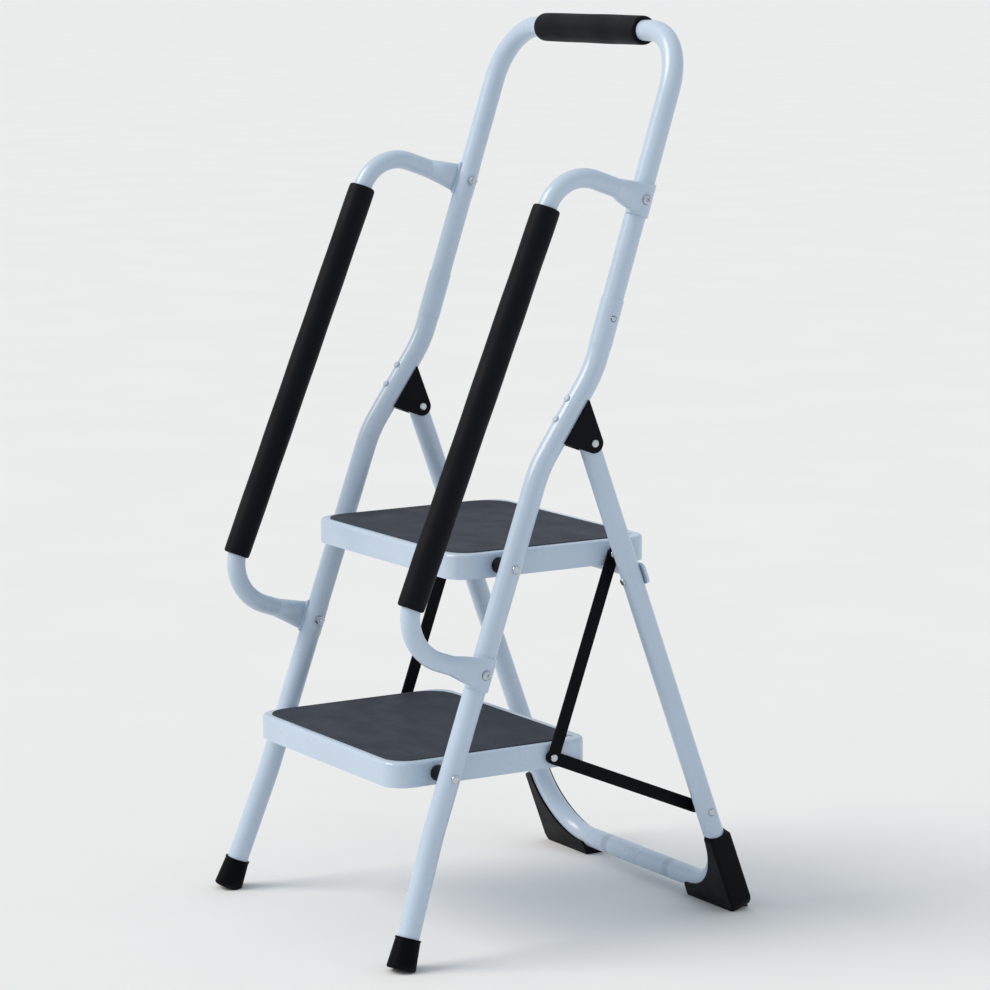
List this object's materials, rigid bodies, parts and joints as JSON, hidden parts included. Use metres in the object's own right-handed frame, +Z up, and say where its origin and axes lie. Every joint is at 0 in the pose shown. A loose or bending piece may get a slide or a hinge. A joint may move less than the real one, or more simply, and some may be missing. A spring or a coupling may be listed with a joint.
{
  "type": "step stool",
  "caption": "Folding step stool with rubber-matted treads, a tall padded handle, padded side handrails and a folding rear leg frame.",
  "frame": {"origin": "on the floor, below the middle of the whole stool's box when it is open", "axes": "+Z up, +Y the way the user faces when climbing, +X to the user's right"},
  "size_m": [0.4586, 0.494, 1.0397],
  "materials": {
    "frame_paint": "gloss",
    "grip_foam": "matte closed-cell foam",
    "mat_rubber": "matte, fine-textured",
    "foot_rubber": "satin",
    "black_plastic": "fine moulded texture",
    "link_paint": "satin powder coat",
    "zinc_steel": "zinc plated"
  },
  "bodies": {
    "front_frame": {"handle_tube": "frame_paint", "handle_grip": "grip_foam", "hinge_rivets": "zinc_steel", "bracket_rivets": "frame_paint", "handrail_bolts": "zinc_steel", "handrail_nuts": "zinc_steel", "step_pivot_rivets": "zinc_steel", "pivot_spacers": "black_plastic", "side_rail_right": "frame_paint", "front_foot_right": "foot_rubber", "hinge_bracket_right": "black_plastic", "handrail_right": "frame_paint", "handrail_grip_right": "grip_foam", "button_spring_right": "zinc_steel", "side_rail_left": "frame_paint", "front_foot_left": "foot_rubber", "hinge_bracket_left": "black_plastic", "handrail_left": "frame_paint", "handrail_grip_left": "grip_foam", "button_spring_left": "zinc_steel"},
    "rear_frame": {"rear_leg_frame": "frame_paint", "rear_crossbar": "frame_paint", "crossbar_rivets": "zinc_steel", "rear_link_rivets": "zinc_steel", "rear_link_spacers": "black_plastic", "rear_boot_right": "black_plastic", "rear_boot_left": "black_plastic"},
    "upper_step": {"upper_step_pan": "frame_paint", "upper_step_mat": "mat_rubber", "upper_link_rivets": "zinc_steel", "upper_link_washers": "zinc_steel"},
    "lower_step": {"lower_step_pan": "frame_paint", "lower_step_mat": "mat_rubber", "lower_link_rivets": "zinc_steel"},
    "vertical_link_right": {"vertical_link_right": "link_paint"},
    "rear_link_right": {"rear_link_right": "link_paint", "rear_link_pin_right": "zinc_steel"},
    "snap_button_right": {"snap_button_right": "zinc_steel"},
    "vertical_link_left": {"vertical_link_left": "link_paint"},
    "rear_link_left": {"rear_link_left": "link_paint", "rear_link_pin_left": "zinc_steel"},
    "snap_button_left": {"snap_button_left": "zinc_steel"}
  },
  "joints": [
    {"name": "rear_fold", "type": "hinge", "parent": "front_frame", "child": "rear_frame", "pos_m": [0, 0.02792, 0.5683], "axis": [-1, 0, 0], "range_deg": [0, 36]},
    {"name": "upper_step_fold", "type": "hinge", "parent": "front_frame", "child": "upper_step", "pos_m": [0, -0.07622, 0.4348], "axis": [1, 0, 0], "range_deg": [0, 50.7]},
    {"name": "lower_step_fold", "type": "hinge", "parent": "front_frame", "child": "lower_step", "pos_m": [0, -0.15793, 0.2072], "axis": [1, 0, 0], "range_deg": [0, 50.7]},
    {"name": "vertical_link_pivot_right", "type": "hinge", "parent": "upper_step", "child": "vertical_link_right", "pos_m": [0, 0.07378, 0.4338], "axis": [1, 0, 0], "range_deg": [-50.7, 0]},
    {"name": "rear_link_pivot_right", "type": "hinge", "parent": "lower_step", "child": "rear_link_right", "pos_m": [0, -0.00792, 0.2062], "axis": [1, 0, 0], "range_deg": [-129.4, 0]},
    {"name": "snap_button_press_right", "type": "slide", "parent": "front_frame", "child": "snap_button_right", "axis": [-1, 0, 0], "range_m": [0, 0.004], "stiffness_N_per_m": 400, "springref_m": -0.003},
    {"name": "vertical_link_pivot_left", "type": "hinge", "parent": "upper_step", "child": "vertical_link_left", "pos_m": [0, 0.07378, 0.4338], "axis": [1, 0, 0], "range_deg": [-50.7, 0]},
    {"name": "rear_link_pivot_left", "type": "hinge", "parent": "lower_step", "child": "rear_link_left", "pos_m": [0, -0.00792, 0.2062], "axis": [1, 0, 0], "range_deg": [-129.4, 0]},
    {"name": "snap_button_press_left", "type": "slide", "parent": "front_frame", "child": "snap_button_left", "axis": [1, 0, 0], "range_m": [0, 0.004], "stiffness_N_per_m": 400, "springref_m": -0.003}
  ],
  "couplings": [
    {"joint": "upper_step_fold", "follows": "rear_fold", "ratio": 1.4042},
    {"joint": "lower_step_fold", "follows": "rear_fold", "ratio": 1.4042},
    {"joint": "vertical_link_pivot_right", "follows": "rear_fold", "ratio": -1.4042},
    {"joint": "rear_link_pivot_right", "follows": "rear_fold", "ratio": -3.5907},
    {"joint": "vertical_link_pivot_left", "follows": "rear_fold", "ratio": -1.4042},
    {"joint": "rear_link_pivot_left", "follows": "rear_fold", "ratio": -3.5907}
  ]
}
